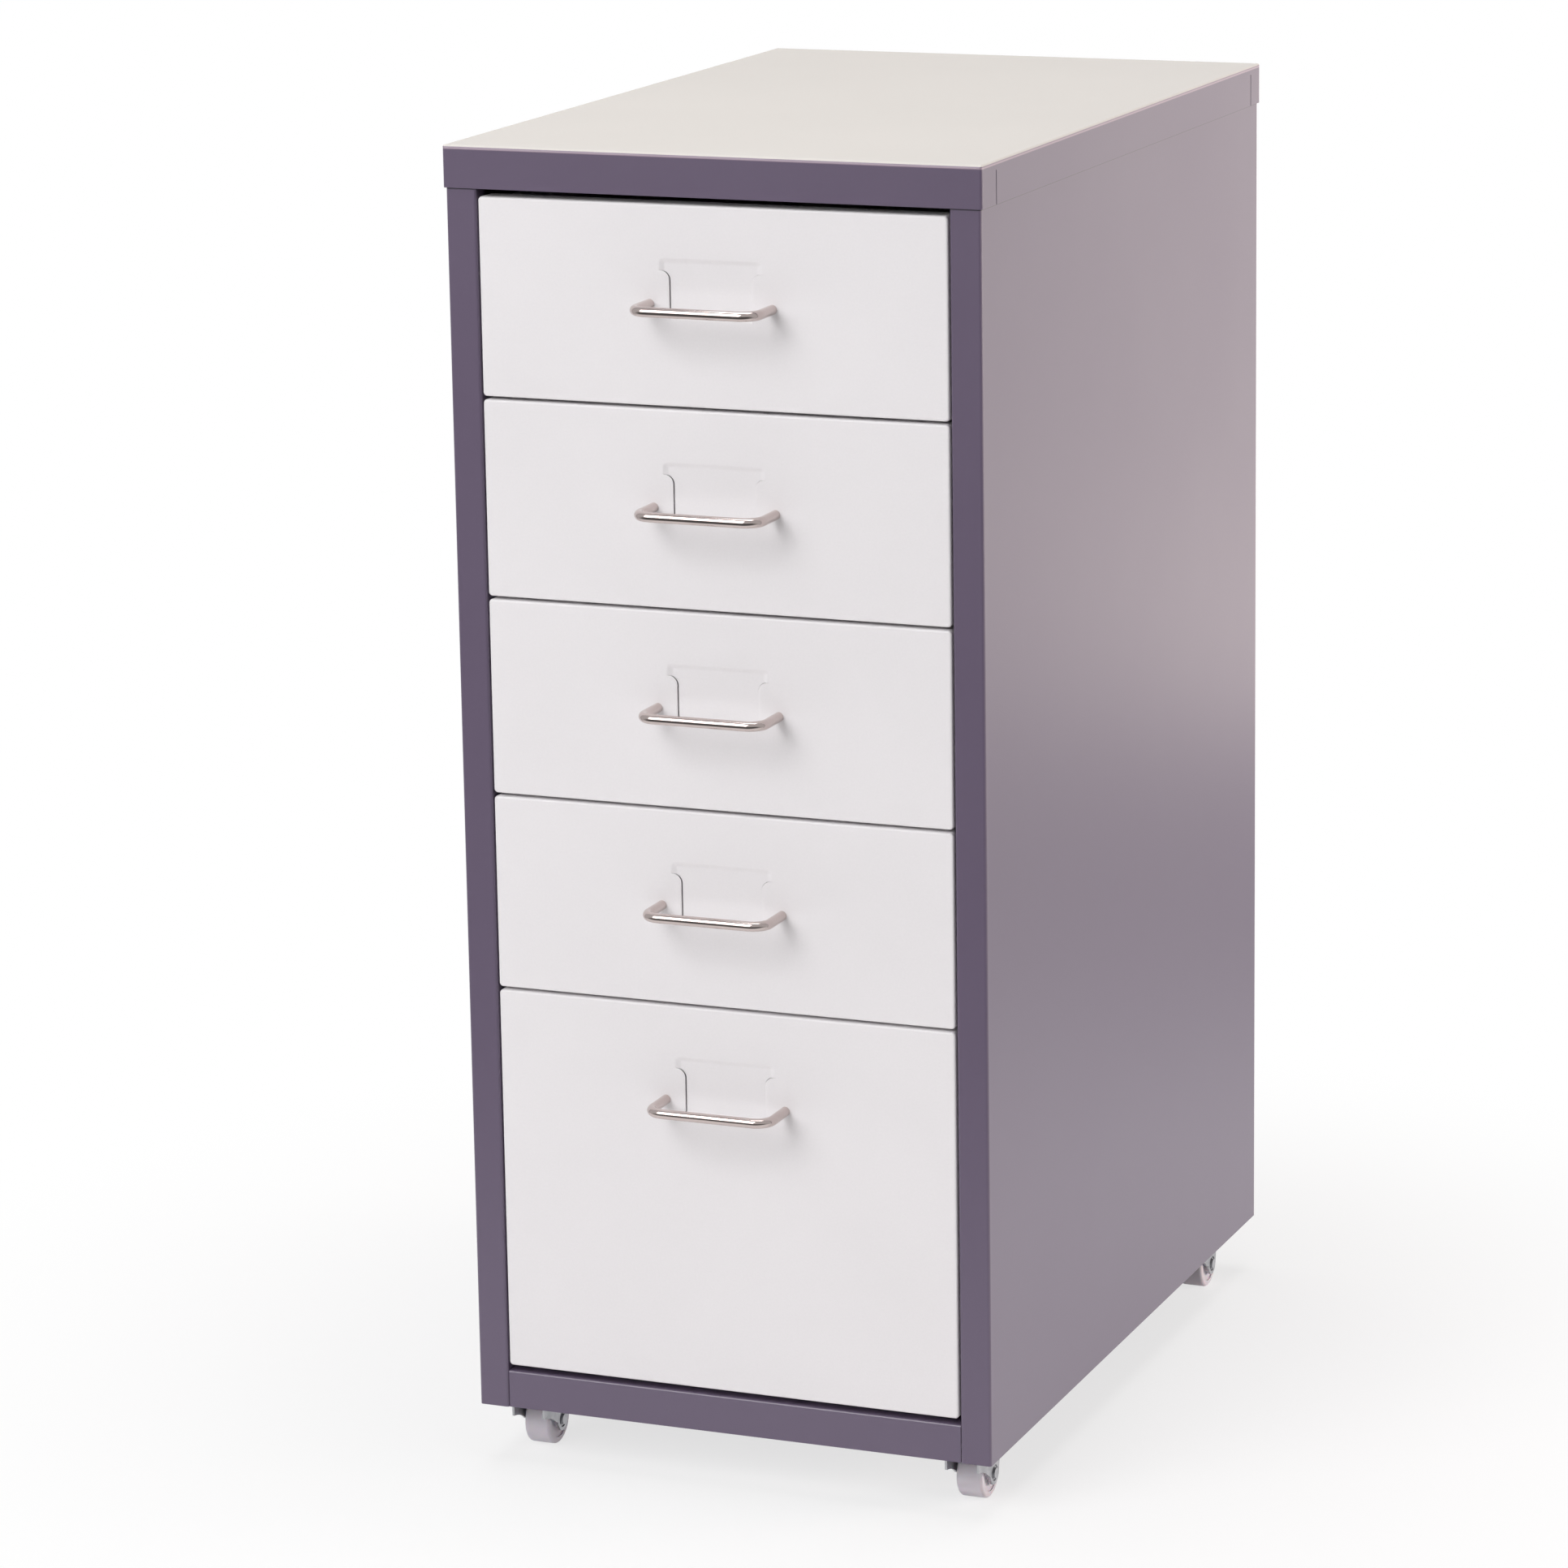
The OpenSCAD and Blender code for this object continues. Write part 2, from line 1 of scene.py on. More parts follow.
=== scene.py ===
"""Small steel drawer cabinet on casters: its finishes, the studio light and the camera."""
import math

import bmesh
import bpy
from mathutils import Matrix, Vector


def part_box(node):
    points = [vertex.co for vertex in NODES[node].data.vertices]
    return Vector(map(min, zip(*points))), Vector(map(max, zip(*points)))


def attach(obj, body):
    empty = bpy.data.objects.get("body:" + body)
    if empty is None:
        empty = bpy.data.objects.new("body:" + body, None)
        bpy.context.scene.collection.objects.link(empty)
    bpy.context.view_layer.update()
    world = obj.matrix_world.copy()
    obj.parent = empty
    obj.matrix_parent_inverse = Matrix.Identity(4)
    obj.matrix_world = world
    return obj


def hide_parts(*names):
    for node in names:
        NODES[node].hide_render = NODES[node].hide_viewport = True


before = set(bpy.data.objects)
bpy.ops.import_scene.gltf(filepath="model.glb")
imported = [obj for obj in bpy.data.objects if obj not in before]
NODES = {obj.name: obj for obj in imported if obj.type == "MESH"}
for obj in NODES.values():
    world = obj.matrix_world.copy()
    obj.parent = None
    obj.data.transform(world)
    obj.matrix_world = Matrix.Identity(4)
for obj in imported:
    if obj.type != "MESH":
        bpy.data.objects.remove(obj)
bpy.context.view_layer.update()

MM = 0.001
scene = bpy.context.scene

# ---- sizes read from the frame ----
lid_low, lid_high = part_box("top_panel")
front_face_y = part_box("drawer_1_front")[0].y
DRAWERS = [f"drawer_{number}" for number in range(1, 6)]

# ---- sizes of the pressed fronts and the wire; heights are over the handle's axis ----
SHEET = 0.7 * MM                # thickness of the drawers' sheet
ROLL_R = 1.1 * MM               # rolled edge of a front
CORNER_R = 2 * MM
BORDER_W = 0.3 * MM             # flat border between the rolled edge and the sheet inside it
EDGE_EASE = 0.3 * MM            # each front stands clear of its upper and lower limit by this much
BEND_R = 8 * MM                 # bends of the handle's wire, to its middle
POCKET_HALF = 27.2 * MM         # half the width of the label pocket's open top
POCKET_TOP = 23 * MM
PRESS_DEPTH = 1 * MM
TOP_SLOPE = 3 * MM              # width of the pressing's soft slope, above and below
SIDE_SLOPE = 3.5 * MM
SLIT_HALF = 21.5 * MM           # from the middle to each slit
SLIT_W = 0.2 * MM
SLIT_END = -7.5 * MM            # lower end of the slits
HOOK_R = 4.5 * MM               # curve at the top of each lip
HOOK_TOP = 16.5 * MM
TURN_H = 0.05 * MM              # a slit turns level over this height
CUT_R = 0.15 * MM               # paint rounds the cut edges of the slits by this much
FLAT_ABOVE = 2 * MM             # flat sheet that is modelled with the pressing, above and below it
FLAT_BESIDE = 4 * MM            # and on each side
SHARPEST = math.radians(40)     # edges that turn more than this stay sharp

# facets round the wire, along its bends, and across a front's corners, rolled edge and cut edges
WIRE_SIDES, BEND_STEPS, CORNER_STEPS, ROLL_STEPS, CUT_STEPS = 32, 12, 8, 6, 2
# rows of the pocket's sheet: its lower slope, up to the hook, along the hook, over it, its upper slope
LOW_ROWS, STRAIGHT_ROWS, HOOK_ROWS, OPEN_ROWS, TOP_ROWS = 8, 4, 14, 4, 12
# and its columns: from the middle out over the flat panel, on to the slit, and across the lip
FLAT_STEPS, EDGE_STEPS, LIP_STEPS = 5, 15, 6


# ---- helpers for materials ----
# a Mix node that blends colours has its factor and colours at these inputs, its result at this output
FACTOR, FIRST, SECOND, BLENDED = 0, 6, 7, 2
PAINT_EDGE = 0.2 * MM           # height over which one colour gives way to the next
CLOUD_MM = 90                   # size of the clouds in a powder coat
CLOUD_SHADE = 0.025             # share by which clouds and grit each brighten and darken it
CLOUD_SATIN = 0.04              # and how far clouds change its roughness


def linear(hex_colour):
    """An sRGB hex colour as linear RGBA."""
    parts = [int(hex_colour[i:i + 2], 16) / 255 for i in (1, 3, 5)]
    return [c / 12.92 if c <= 0.04045 else ((c + 0.055) / 1.055) ** 2.4 for c in parts] + [1.0]


def per_metre(size_mm):
    """The scale of a pattern whose grains are about size_mm across."""
    return 1 / (size_mm * MM)


def add(tree, kind, inputs=None, **settings):
    """A new node with its settings and inputs.

    An input is a value, a socket of another node, or another node, which gives its first output.
    """
    node = tree.nodes.new("ShaderNode" + kind)
    for name, value in settings.items():
        setattr(node, name, value)
    for name, value in (inputs or {}).items():
        source = value.outputs[0] if isinstance(value, bpy.types.Node) else value
        if isinstance(source, bpy.types.NodeSocket):
            tree.links.new(source, node.inputs[name])
        else:
            node.inputs[name].default_value = source
    return node


def new_material(name):
    """An empty material with its tree and its Object coordinates."""
    material = bpy.data.materials.new(name)
    material.use_nodes = True
    tree = material.node_tree
    tree.nodes.clear()
    return material, tree, add(tree, "TexCoord").outputs["Object"]


def finish_material(material, tree, surface):
    """The material with a shader at its output, which has surface as its inputs."""
    add(tree, "OutputMaterial", {"Surface": add(tree, "BsdfPrincipled", surface)})
    return material


def above(tree, place, level):
    """1 over the height level and 0 below it, with an edge as soft as a masked line of paint."""
    height = add(tree, "SeparateXYZ", {"Vector": place}).outputs["Z"]
    return add(tree, "MapRange", {"Value": height, "From Min": level, "From Max": level + PAINT_EDGE})


def bands(tree, place, lowest, levels):
    """The hex colour lowest, and above each level in turn the hex colour given with it."""
    colour = linear(lowest)
    for level, next_colour in levels:
        colour = add(tree, "Mix", {FACTOR: above(tree, place, level), FIRST: colour,
                                   SECOND: linear(next_colour)}, data_type="RGBA").outputs[BLENDED]
    return colour


def powder(tree, place, colour, roughness, peel_mm=1.8, peel_depth_mm=0.012):
    """A shader's inputs for baked powder: clouds and grit in the colour, orange peel, uneven satin.

    colour and roughness may each be a value, a socket or a node. The grit is drawn half as coarse
    as the peel, much coarser than the powder's grains, so that it shows.
    """
    clouds = add(tree, "TexNoise", {"Vector": place, "Scale": per_metre(CLOUD_MM), "Detail": 2})
    grit = add(tree, "TexNoise", {"Vector": place, "Scale": per_metre(peel_mm / 2), "Detail": 2})
    for pattern in (clouds, grit):
        brightness = add(tree, "MapRange", {"Value": pattern, "To Min": 1 - CLOUD_SHADE,
                                            "To Max": 1 + CLOUD_SHADE})
        colour = add(tree, "HueSaturation", {"Color": colour, "Value": brightness})
    unevenness = add(tree, "MapRange", {"Value": clouds, "To Min": -CLOUD_SATIN, "To Max": CLOUD_SATIN})
    peel = add(tree, "TexNoise", {"Vector": place, "Scale": per_metre(peel_mm), "Detail": 3})
    relief = add(tree, "Bump", {"Height": peel, "Strength": 1.0, "Distance": peel_depth_mm * MM})
    return {"Base Color": colour, "Normal": relief, "Coat Roughness": 0.3,
            "Roughness": add(tree, "Math", {0: unevenness, 1: roughness}, operation="ADD")}


# ---- materials ----
VIOLET = "#5f5269"
SATIN, MATT = 0.42, 0.62        # roughness of the two finishes of the cabinet
COAT = 0.6                      # weight of the gloss over the satin one
PAINTED_JOINT_SHADE, JOINT_SHADE_DROP = "#1d1823", 0.7 * MM           # painted shade: the panels are dark from this far below the lid, where its skirt shades them
# distances below the lid's top, and the colour above each: painted highlight on the fold, its brightest
# line, painted highlight, off-white paint
FOLD_LINES = ((2.2 * MM, "#8c7a8b"), (1.9 * MM, "#a896a3"), (1.4 * MM, "#837185"), (0.9 * MM, "#d5d0cb"))


def cabinet_powder():
    """Epoxy-polyester powder, satin, in a muted violet grey: soft gloss, and painted shade just below the
    lid's skirt.
    """
    material, tree, place = new_material("violet_grey_powder_coat")
    # the dark band just below the lid is painted shade, where the lid's skirt shades the panels
    surface = powder(tree, place, bands(tree, place, VIOLET, [(lid_low.z - JOINT_SHADE_DROP, PAINTED_JOINT_SHADE)]), SATIN)
    surface["Coat Weight"] = COAT
    return finish_material(material, tree, surface)


def lid_powder():
    """The same violet satin on the skirts, and a matt off-white on the flat top up to the fold.

    Just below the off-white the violet is painted paler, most of all along a thin line: a painted highlight
    on the fold.
    """
    material, tree, place = new_material("two_tone_lid_powder_coat")
    # the paler violet bands under the off-white are a painted highlight on the fold
    levels = [(lid_high.z - drop, colour) for drop, colour in FOLD_LINES]
    on_top = above(tree, place, levels[-1][0])
    roughness = add(tree, "MapRange", {"Value": on_top, "To Min": SATIN, "To Max": MATT})
    surface = powder(tree, place, bands(tree, place, VIOLET, levels), roughness)
    surface["Coat Weight"] = add(tree, "MapRange", {"Value": on_top, "To Min": COAT, "To Max": 0.0})
    return finish_material(material, tree, surface)


def drawer_powder():
    """White satin powder on pressed sheet: smooth, with the faintest orange peel."""
    material, tree, place = new_material("white_powder_coat")
    surface = powder(tree, place, linear("#e8e5e7"), roughness=0.38, peel_mm=2.2, peel_depth_mm=0.008)
    return finish_material(material, tree, surface)


def nickel():
    """Bright nickel on drawn steel wire: a warm mirror with faint draw lines.

    The lines run along the bar, half a millimetre apart. That is coarser than the die leaves them,
    so that they show.
    """
    material, tree, place = new_material("bright_nickel_plate")
    stretched = add(tree, "Mapping", {"Vector": place, "Scale": (0.08, 0.5, 1.0)})
    lines = add(tree, "TexNoise", {"Vector": stretched, "Scale": per_metre(0.5), "Detail": 3})
    tint = add(tree, "TexNoise", {"Vector": place, "Scale": per_metre(14), "Detail": 2})
    return finish_material(material, tree, {
        "Base Color": add(tree, "Mix", {FACTOR: tint, FIRST: linear("#c4b6b2"), SECOND: linear("#d3c7c4")},
                          data_type="RGBA").outputs[BLENDED],
        "Metallic": 1.0,
        "Roughness": add(tree, "MapRange", {"Value": lines, "To Min": 0.07, "To Max": 0.14}),
        "Normal": add(tree, "Bump", {"Height": lines, "Strength": 1.0, "Distance": 0.004 * MM})})


def zinc():
    """Bright zinc plate on stamped steel: a soft grey metal with a fine, cloudy spangle."""
    material, tree, place = new_material("bright_zinc_plate")
    cells = add(tree, "TexVoronoi", {"Vector": place, "Scale": per_metre(2.5)}).outputs["Color"]
    spangle = add(tree, "SeparateColor", {"Color": cells}).outputs["Red"]
    faint = add(tree, "MapRange", {"Value": spangle, "To Min": 0.0, "To Max": 0.35})
    haze = add(tree, "TexNoise", {"Vector": place, "Scale": per_metre(6), "Detail": 3})
    mottle = add(tree, "Math", {0: faint, 1: haze}, operation="ADD")
    return finish_material(material, tree, {
        "Base Color": add(tree, "Mix", {FACTOR: mottle, FIRST: linear("#8f9296"), SECOND: linear("#bcbcc0")},
                          data_type="RGBA").outputs[BLENDED],
        "Metallic": 1.0,
        "Roughness": add(tree, "MapRange", {"Value": haze, "To Min": 0.28, "To Max": 0.42}),
        "Normal": add(tree, "Bump", {"Height": haze, "Strength": 1.0, "Distance": 0.02 * MM})})


def nylon():
    """Natural nylon, injection moulded: milky and satin, with a little light soaking in.

    Its grain is drawn 0.6 mm across, coarser than the mould's, so that it shows.
    """
    material, tree, place = new_material("natural_moulded_nylon")
    milk = add(tree, "TexNoise", {"Vector": place, "Scale": per_metre(9), "Detail": 2})
    grain = add(tree, "TexNoise", {"Vector": place, "Scale": per_metre(0.6), "Detail": 2})
    return finish_material(material, tree, {
        "Base Color": add(tree, "Mix", {FACTOR: milk, FIRST: linear("#d0cad3"), SECOND: linear("#dcd6de")},
                          data_type="RGBA").outputs[BLENDED],
        "Subsurface Weight": 0.15,
        "Subsurface Scale": 2 * MM,
        "Roughness": add(tree, "MapRange", {"Value": milk, "To Min": 0.4, "To Max": 0.5}),
        "Normal": add(tree, "Bump", {"Height": grain, "Strength": 1.0, "Distance": 0.01 * MM})})


CABINET, LID, DRAWER = cabinet_powder(), lid_powder(), drawer_powder()
NICKEL, ZINC, NYLON = nickel(), zinc(), nylon()
FINISHES = {"top_panel": LID, "side_panel_left": CABINET, "side_panel_right": CABINET,
            "back_panel": CABINET, "base_panel": CABINET, "back_rivets": CABINET}


def finish_of(name):
    """The material of a CAD node."""
    if name in FINISHES:
        return FINISHES[name]
    if name.startswith("wheel_"):
        return NYLON
    if name.endswith("_handle"):
        return NICKEL
    return DRAWER if name.endswith(("_front", "_tray")) else ZINC


for name, part in NODES.items():
    part.data.materials.clear()
    part.data.materials.append(finish_of(name))


# ---- helpers for pieces ----
def finish_piece(mesh, name, body, material, node):
    """The mesh as a smooth piece that rides on body in place of node, with its sharp edges kept."""
    for face in mesh.faces:
        face.smooth = True
    for edge in mesh.edges:
        edge.smooth = len(edge.link_faces) == 2 and edge.calc_face_angle() < SHARPEST
    data = bpy.data.meshes.new(name)
    mesh.to_mesh(data)
    mesh.free()
    data.materials.append(material)
    piece = bpy.data.objects.new(name, data)
    scene.collection.objects.link(piece)
    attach(piece, body)
    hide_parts(node)


def soft_step(x):
    """0 below 0 and 1 above 1, with a smooth rise between."""
    x = min(max(x, 0.0), 1.0)
    return x * x * (3 - 2 * x)


# ---- wire handles ----
def bow_handle(drawer):
    """Drawn wire with two legs, two round bends and a straight bar."""
    low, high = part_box(f"{drawer}_handle")
    wire_r = (high.z - low.z) / 2
    leg_x = high.x - wire_r
    bend_y = low.y + wire_r + BEND_R
    mesh = bmesh.new()
    bmesh.ops.create_circle(mesh, cap_ends=True, segments=WIRE_SIDES, radius=wire_r)
    bmesh.ops.rotate(mesh, verts=mesh.verts, matrix=Matrix.Rotation(math.pi / 2, 3, "X"))
    bmesh.ops.translate(mesh, verts=mesh.verts, vec=(-leg_x, high.y, low.z + wire_r))

    def draw_out(ring, run):
        """Lengthens the wire from its end ring by run."""
        made = bmesh.ops.extrude_edge_only(mesh, edges=ring)["geom"]
        bmesh.ops.translate(mesh, verts=[v for v in made if isinstance(v, bmesh.types.BMVert)], vec=run)
        return [e for e in made if isinstance(e, bmesh.types.BMEdge) and len(e.link_faces) == 1]

    def bend(ring, centre_x):
        """Bends the wire a quarter turn round centre_x."""
        made = bmesh.ops.spin(mesh, geom=ring, cent=(centre_x, bend_y, low.z + wire_r), axis=(0, 0, 1),
                              angle=math.pi / 2, steps=BEND_STEPS, use_merge=False, use_duplicate=False)
        return [e for e in made["geom_last"] if isinstance(e, bmesh.types.BMEdge)]

    ring = draw_out(mesh.edges[:], (0, bend_y - high.y, 0))
    ring = bend(ring, BEND_R - leg_x)
    ring = draw_out(ring, (2 * (leg_x - BEND_R), 0, 0))
    ring = bend(ring, leg_x - BEND_R)
    ring = draw_out(ring, (0, high.y - bend_y, 0))
    bmesh.ops.contextual_create(mesh, geom=ring)
    bmesh.ops.recalc_face_normals(mesh, faces=mesh.faces)
    finish_piece(mesh, f"{drawer}_bow", drawer, NICKEL, f"{drawer}_handle")


# ---- drawer fronts ----
def slit_x(z):
    """Distance from the middle to a slit at height z: straight, then out round the lip's hook."""
    if z > HOOK_TOP + TURN_H / 2:
        return POCKET_HALF
    rise = max(z - HOOK_TOP + HOOK_R, 0.0)
    return SLIT_HALF + HOOK_R - math.sqrt(max(HOOK_R ** 2 - rise ** 2, 0.0))


def press_depth(x, z):
    """Depth of the pressing, which fades to nothing at its outline and at the slits' lower ends."""
    return (PRESS_DEPTH * soft_step((POCKET_HALF - abs(x)) / SIDE_SLOPE)
            * soft_step((POCKET_TOP - z) / TOP_SLOPE) * soft_step((z - SLIT_END) / TOP_SLOPE))


def even(start, end, count):
    """count values from start up to, but not at, end."""
    return [start + (end - start) * i / count for i in range(count)]


# heights of the pocket's rows, closer together where the sheet bends
HOOK_Z = HOOK_TOP - HOOK_R                       # the hook starts here
ROWS = ([SLIT_END - FLAT_ABOVE] + even(SLIT_END, SLIT_END + TOP_SLOPE, LOW_ROWS)
        + even(SLIT_END + TOP_SLOPE, HOOK_Z, STRAIGHT_ROWS)
        + [HOOK_Z + HOOK_R * math.sin(a) for a in even(0, math.pi / 2, HOOK_ROWS)] + [HOOK_TOP]
        + even(HOOK_TOP + TURN_H, POCKET_TOP - TOP_SLOPE, OPEN_ROWS)
        + even(POCKET_TOP - TOP_SLOPE, POCKET_TOP, TOP_ROWS) + [POCKET_TOP, POCKET_TOP + FLAT_ABOVE])
FLAT_HALF = 20 * MM                              # the panel is flat from its middle to here
PATCH_HALF = POCKET_HALF + FLAT_BESIDE


def strip_of_sheet(mesh, columns, across):
    """A grid of ROWS by columns, whose point in column i at height z goes to across(i, z), a pair."""
    made = bmesh.ops.create_grid(mesh, x_segments=columns, y_segments=len(ROWS) - 1, size=0.5)["verts"]
    for vert in made:
        z = ROWS[round((vert.co.y + 0.5) * (len(ROWS) - 1))]
        x, depth = across(round((vert.co.x + 0.5) * columns), z)
        vert.co = (x, depth, z)
    return made


def panel_point(i, z):
    """Place and depth of column i of the sheet between the slits."""
    step = i - FLAT_STEPS - EDGE_STEPS
    edge = slit_x(z)
    edge -= SLIT_W * press_depth(edge, z) / PRESS_DEPTH         # the slit opens as the sheet goes back
    out = max(abs(step) - FLAT_STEPS, 0) / EDGE_STEPS
    x = min(abs(step), FLAT_STEPS) / FLAT_STEPS * FLAT_HALF + out * (edge - FLAT_HALF)
    return math.copysign(x, step), press_depth(x, z)


def pocket(mesh, axis_z, face_y):
    """The sheet round the label pocket: the pressed panel and the lip on each side, apart at the slits."""
    made = strip_of_sheet(mesh, 2 * (FLAT_STEPS + EDGE_STEPS), panel_point)
    for side in (-1, 1):
        made += strip_of_sheet(mesh, LIP_STEPS, lambda i, z: (
            side * (slit_x(z) + (PATCH_HALF - slit_x(z)) * i / LIP_STEPS), 0.0))
    bmesh.ops.translate(mesh, verts=made, vec=(0, face_y, axis_z))
    bmesh.ops.remove_doubles(mesh, verts=made, dist=0.001 * MM)


def round_edges(mesh, edges, radius, steps):
    """Rounds edges with that many facets."""
    bmesh.ops.bevel(mesh, geom=edges, offset=radius, offset_type="OFFSET", affect="EDGES",
                    segments=steps, profile=0.5, material=-1)


def outer_face(mesh):
    """The largest face that looks forward."""
    mesh.normal_update()
    return max((f for f in mesh.faces if f.normal.y < -0.5), key=lambda f: f.calc_area())


def pocket_rim(mesh, axis_z):
    """The open edges all round the pocket's sheet, without those of its slits."""
    low, high, near = axis_z + ROWS[0], axis_z + ROWS[-1], SLIT_W / 2
    return [e for e in mesh.edges if len(e.link_faces) == 1 and all(
        abs(v.co.x) < PATCH_HALF + SLIT_W and low - SLIT_W < v.co.z < high + SLIT_W
        and (abs(v.co.x) > PATCH_HALF - near or v.co.z < low + near or v.co.z > high - near)
        for v in e.verts)]


def pressed_front(drawer):
    """A pan of pressed sheet with rolled edges, and a label pocket over its handle."""
    low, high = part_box(f"{drawer}_front")
    low, high = low + Vector((0, 0, EDGE_EASE)), high - Vector((0, 0, EDGE_EASE))
    grip_low, grip_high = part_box(f"{drawer}_handle")
    axis_z = (grip_low.z + grip_high.z) / 2
    mesh = bmesh.new()
    bmesh.ops.create_cube(mesh, size=1)
    bmesh.ops.scale(mesh, verts=mesh.verts, vec=high - low)
    bmesh.ops.translate(mesh, verts=mesh.verts, vec=(low + high) / 2)
    mesh.normal_update()
    bmesh.ops.delete(mesh, geom=[f for f in mesh.faces if f.normal.y > 0.5], context="FACES_ONLY")
    corners = [e for e in mesh.edges if abs(e.verts[0].co.y - e.verts[1].co.y) > ROLL_R]
    round_edges(mesh, corners, CORNER_R, CORNER_STEPS)
    round_edges(mesh, outer_face(mesh).edges[:], ROLL_R, ROLL_STEPS)
    face = outer_face(mesh)
    bmesh.ops.inset_region(mesh, faces=[face], thickness=BORDER_W, use_even_offset=True)
    opening = face.edges[:]
    bmesh.ops.delete(mesh, geom=[face], context="FACES_ONLY")

    pocket(mesh, axis_z, low.y)
    bmesh.ops.triangle_fill(mesh, edges=opening + pocket_rim(mesh, axis_z), use_beauty=True,
                            normal=(0, -1, 0))
    bmesh.ops.recalc_face_normals(mesh, faces=mesh.faces)
    cut = [e for e in mesh.edges if len(e.link_faces) == 1 and e.verts[0].co.y < low.y + 2 * PRESS_DEPTH]
    bmesh.ops.solidify(mesh, geom=mesh.faces[:], thickness=SHEET)
    round_edges(mesh, cut, CUT_R, CUT_STEPS)
    finish_piece(mesh, f"{drawer}_pressed_front", drawer, DRAWER, f"{drawer}_front")


for drawer in DRAWERS:
    bow_handle(drawer)
    pressed_front(drawer)


# ---- camera ----
def aim_camera():
    """A long lens from the front right, a little above the lid."""
    frame_px = 1932                                   # width and height of the frame
    focal_px = 7151.6                                 # focal length in the frame's pixels
    centre_shift = (-0.05, -0.05)
    azimuth, tilt, roll = (math.radians(a) for a in (21.59, 12.88, -0.74))
    stand = Vector((1081.95, -2542.5, 1036.6)) * MM + Vector((0, front_face_y, 0))
    ahead = Vector((-math.sin(azimuth) * math.cos(tilt), math.cos(azimuth) * math.cos(tilt),
                    -math.sin(tilt)))
    level = Vector((math.cos(azimuth), math.sin(azimuth), 0))
    upright = level.cross(ahead)
    right = level * math.cos(roll) + upright * math.sin(roll)
    up = upright * math.cos(roll) - level * math.sin(roll)
    camera = bpy.data.objects.new("camera", bpy.data.cameras.new("camera"))
    scene.collection.objects.link(camera)
    camera.data.sensor_width = 36
    camera.data.lens = focal_px / frame_px * camera.data.sensor_width
    camera.data.shift_x, camera.data.shift_y = centre_shift
    camera.matrix_world = Matrix.Translation(stand) @ Matrix((right, up, -ahead)).transposed().to_4x4()
    camera.data.clip_end = 50
    scene.camera = camera


# ---- studio ----
# each soft box: its name, place, target and size in metres, its power in watts and its colour
LAMPS = (("key", (-0.95, -2.6, 2.3), (0, 0, 0.35), 1.1, 16, "#ffffff"),
         ("front_wall", (-1.1, -2.7, 2.1), (0, 0, 0.33), 2.4, 58, "#ffffff"),
         ("overhead", (0, 0.2, 2.8), (0, 0, 0.4), 1.8, 36, "#ffffff"),
         ("right_low", (2.2, 0.9, 0.4), (0.1, 0, 0.3), 0.9, 36, "#fff1e8"),
         ("right_rear", (0.33, 1.3, 0.45), (0.14, 0.1, 0.35), 0.8, 1.8, "#fff2e8"),
         ("right_rear_low", (0.45, 1.3, 0.12), (0.14, 0.1, 0.2), 0.2, 0.08, "#fff2e8"))
FLOOR_R = 2.4
FLOOR_EDGE = 96                 # facets round the floor
FILL = 0.2                      # level of the world's soft light
# levels of the floor close by, the room and its open front, as the finishes mirror them
SEEN_NEAR, SEEN_WHITE, SEEN_DARK = 0.95, 0.58, 0.1
# share of plain white in the floor, close by and farther out, so that its shadow fades
WHITE_NEAR, WHITE_FAR = 0.7, 1.0
# distances from the cabinet's middle, in metres, over which the floor changes smoothly
SHADOW_FADE = {"From Min": 0.25, "From Max": 0.65}          # outwards, to plain white
MIRROR_FADE = {"From Min": 1.1, "From Max": 0.4}            # inwards, to the level close by
OPEN_FRONT = {"From Min": -0.5, "From Max": -0.95}          # along Y, to the dark of the open front
# directions over which the mirrored room turns dark: towards its front, and down to its foot
ROOM_FRONT = {"From Min": -0.3, "From Max": -0.8}
ROOM_FOOT = {"From Min": 0.16, "From Max": 0.02}
SMOOTH = {"interpolation_type": "SMOOTHSTEP"}


def lamp(name, at, target, size, power, colour):
    """A square soft box that faces target."""
    light = bpy.data.lights.new(name, "AREA")
    light.size = size
    light.energy = power
    light.color = linear(colour)[:3]
    holder = bpy.data.objects.new(name, light)
    scene.collection.objects.link(holder)
    holder.location = at
    holder.rotation_mode = "QUATERNION"
    holder.rotation_quaternion = (Vector(target) - Vector(at)).to_track_quat("-Z", "Y")


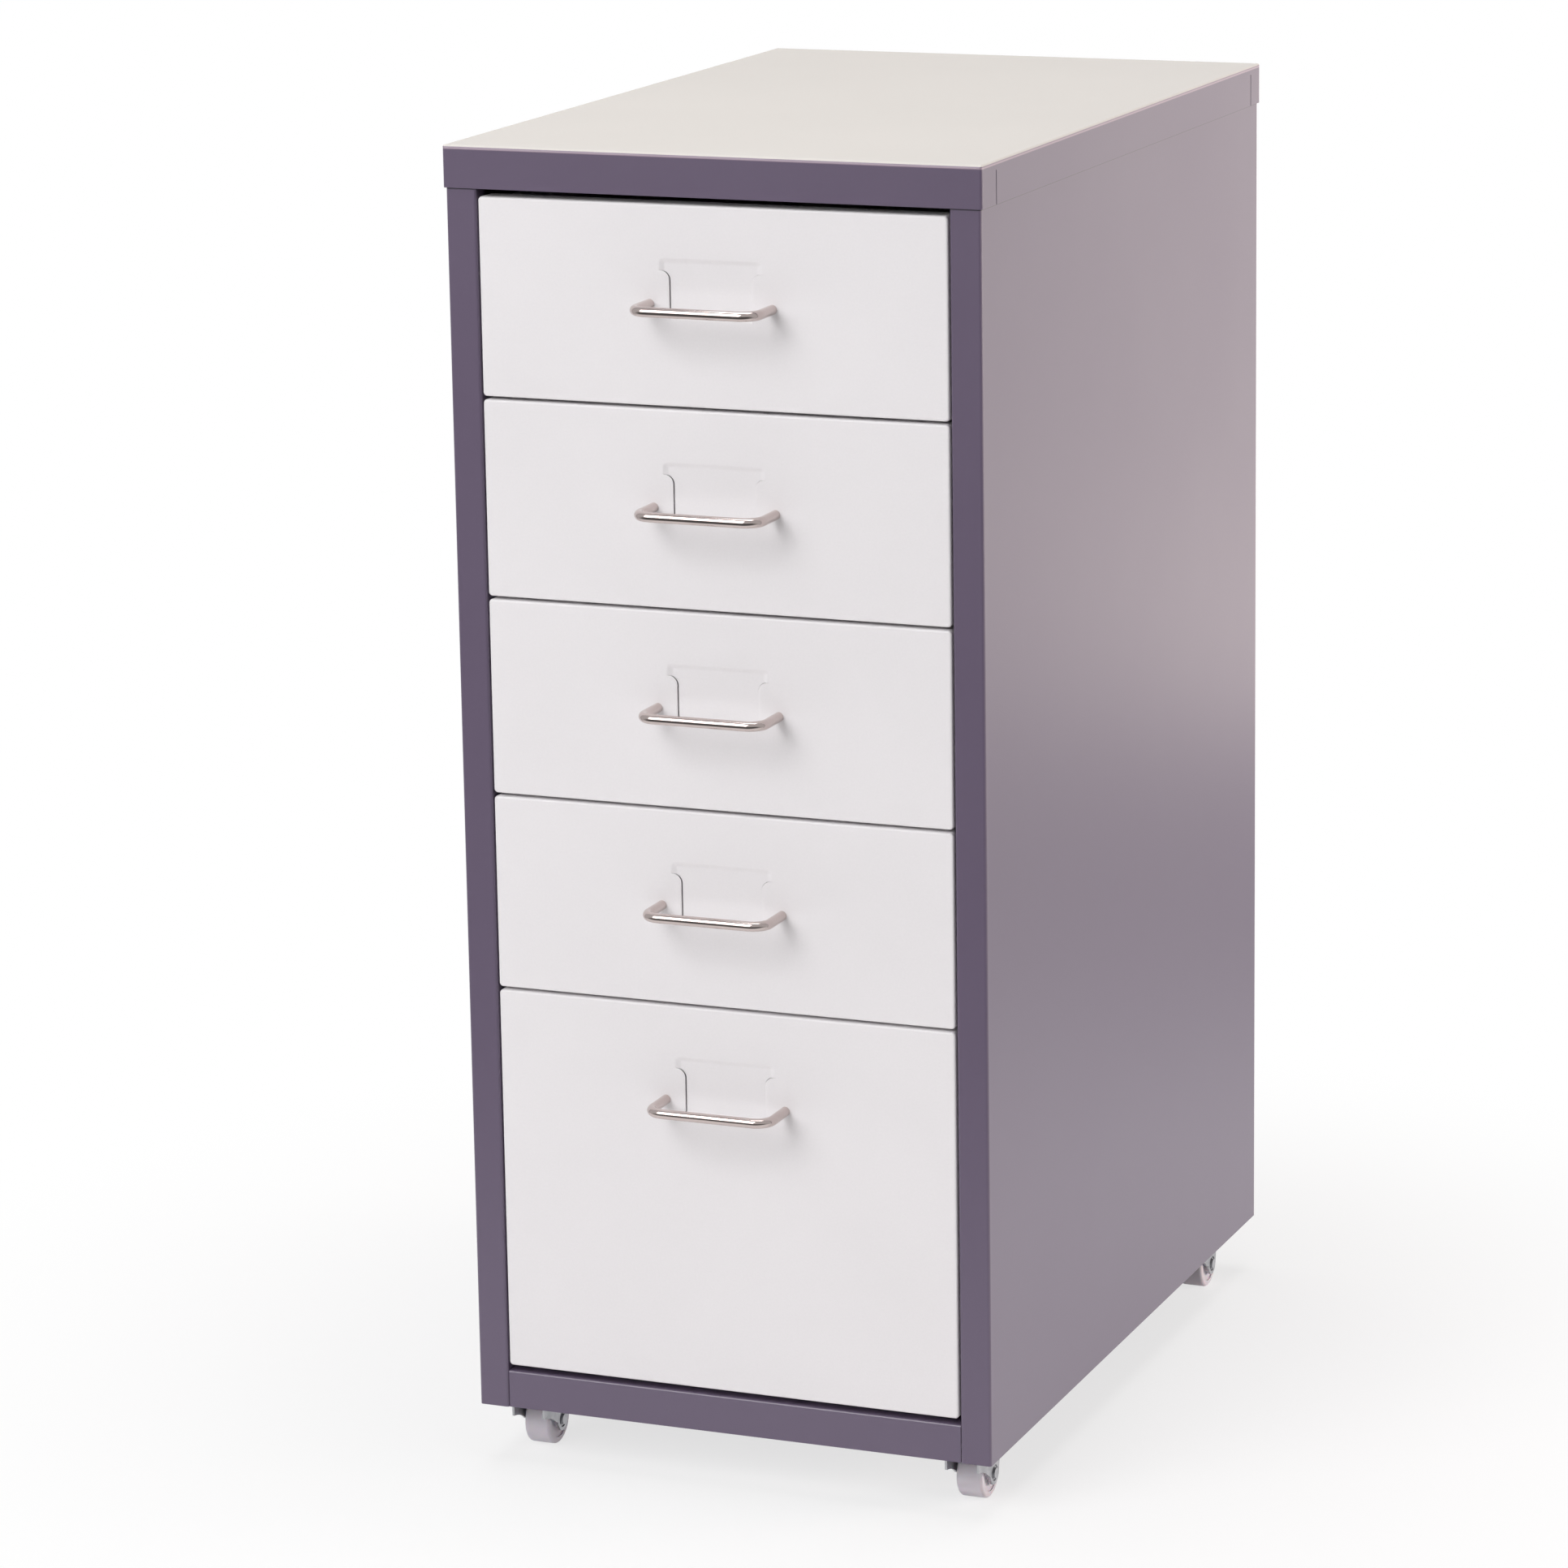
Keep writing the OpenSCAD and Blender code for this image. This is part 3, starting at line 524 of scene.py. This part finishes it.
def white_surround():
    """A white world that polished wire mirrors as a room, dark ahead and below, where it is open."""
    world = bpy.data.worlds.new("white_surround")
    scene.world = world
    world.use_nodes = True
    tree = world.node_tree
    tree.nodes.clear()
    path = add(tree, "LightPath")
    facing = add(tree, "SeparateXYZ", {"Vector": add(tree, "TexCoord").outputs["Generated"]})
    ahead = add(tree, "MapRange", {"Value": facing.outputs["Y"], **ROOM_FRONT}, **SMOOTH)
    low = add(tree, "MapRange", {"Value": facing.outputs["Z"], **ROOM_FOOT}, **SMOOTH)
    band = add(tree, "Math", {0: ahead, 1: low}, operation="MULTIPLY")
    room = add(tree, "MapRange", {"Value": band, "To Min": SEEN_WHITE, "To Max": SEEN_DARK})
    plain = add(tree, "Mix", {"Factor": path.outputs["Is Glossy Ray"], "A": FILL, "B": room})
    level = add(tree, "Mix", {"Factor": path.outputs["Is Camera Ray"], "A": plain, "B": 1.0})
    surround = add(tree, "Background", {"Color": linear("#ffffff"), "Strength": level})
    add(tree, "OutputWorld", {"Surface": surround})


def studio_floor():
    """A matt pale floor, which keeps the shadow and turns to plain white farther out."""
    bpy.ops.mesh.primitive_circle_add(radius=FLOOR_R, vertices=FLOOR_EDGE, fill_type="NGON",
                                      location=(0, 0, 0))
    floor = bpy.context.object
    floor.name = "studio_floor"
    material, tree, place = new_material("pale_studio_floor")
    matt = add(tree, "BsdfPrincipled", {"Base Color": linear("#f8f7f7"), "Roughness": 0.9,
                                        "Specular IOR Level": 0.1})
    reach = add(tree, "VectorMath", {0: place}, operation="LENGTH").outputs["Value"]
    forward = add(tree, "SeparateXYZ", {"Vector": place}).outputs["Y"]
    path = add(tree, "LightPath")
    near = add(tree, "MapRange", {"Value": reach, **MIRROR_FADE, "To Min": SEEN_WHITE,
                                  "To Max": SEEN_NEAR}, **SMOOTH)
    ahead = add(tree, "MapRange", {"Value": forward, **OPEN_FRONT}, **SMOOTH)
    mirrored = add(tree, "Mix", {"Factor": ahead, "A": near, "B": SEEN_DARK})
    level = add(tree, "Mix", {"Factor": path.outputs["Is Camera Ray"], "A": mirrored, "B": 1.0})
    white = add(tree, "Emission", {"Color": linear("#ffffff"), "Strength": level})
    seen = add(tree, "Math", {0: path.outputs["Is Camera Ray"], 1: path.outputs["Is Glossy Ray"]},
               operation="MAXIMUM")
    far = add(tree, "MapRange", {"Value": reach, **SHADOW_FADE, "To Min": WHITE_NEAR,
                                 "To Max": WHITE_FAR}, **SMOOTH)
    share = add(tree, "Math", {0: far, 1: seen}, operation="MULTIPLY")
    add(tree, "OutputMaterial", {"Surface": add(tree, "MixShader", {0: share, 1: matt, 2: white})})
    floor.data.materials.append(material)


aim_camera()
white_surround()
studio_floor()
for soft_box in LAMPS:
    lamp(*soft_box)
scene.view_settings.view_transform = "Standard"
